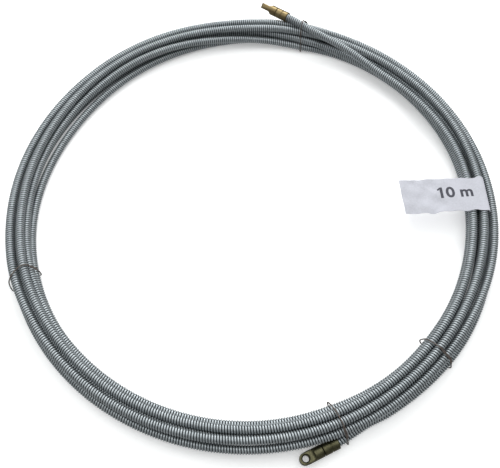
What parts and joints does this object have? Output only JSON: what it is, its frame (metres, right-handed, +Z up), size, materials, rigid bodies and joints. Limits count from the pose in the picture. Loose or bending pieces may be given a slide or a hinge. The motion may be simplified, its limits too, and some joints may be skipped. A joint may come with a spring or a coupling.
{
  "type": "cable draw-in spring",
  "caption": "Round coil of close-wound steel draw-in spring with a brass pulling eye on each end, wire ties round the turns and a paper length flag.",
  "frame": {"origin": "under the middle of the whole object, on the surface that the coil lies on", "axes": "+Z up, along the coil's axis; -Y towards the side with the tail eye, +X towards the side with the length flag"},
  "size_m": [0.454, 0.4782, 0.0326],
  "materials": {
    "zinc_spring_steel": "bright zinc-plated spring wire with a faint blue-green cast",
    "brass": "turned and milled, slightly tarnished",
    "plain_steel": "turned",
    "tie_wire": "dull brown-grey annealed wire",
    "paper": "matt white paper"
  },
  "bodies": {
    "coil": {"spring_coil": "zinc_spring_steel", "spring_lead_end": "zinc_spring_steel", "spring_tail_end": "zinc_spring_steel", "lead_ferrule": "brass", "lead_core_plug": "plain_steel", "tail_ferrule": "brass", "tail_core_plug": "plain_steel", "wire_tie_1": "tie_wire", "wire_tie_2": "tie_wire", "wire_tie_3": "tie_wire", "wire_tie_4": "tie_wire"},
    "lead_eye": {"lead_eye_head": "brass", "lead_stud": "plain_steel"},
    "tail_eye": {"tail_eye_head": "brass", "tail_stud": "plain_steel"},
    "flag": {"length_flag": "paper"}
  },
  "joints": [
    {"name": "lead_eye_turn", "type": "hinge", "parent": "coil", "child": "lead_eye", "pos_m": [0.02832, 0.22432, 0.02573], "axis": [-0.8048, 0.5912, -0.0523], "continuous": true},
    {"name": "tail_eye_turn", "type": "hinge", "parent": "coil", "child": "tail_eye", "pos_m": [0.0563, -0.22743, 0.006], "axis": [-0.9018, -0.4321, 0], "continuous": true},
    {"name": "flag_lift", "type": "hinge", "parent": "coil", "child": "flag", "pos_m": [0.217, -0.00606, 0.02255], "axis": [-0.0244, 0.9997, 0], "range_deg": [0, 150]}
  ]
}
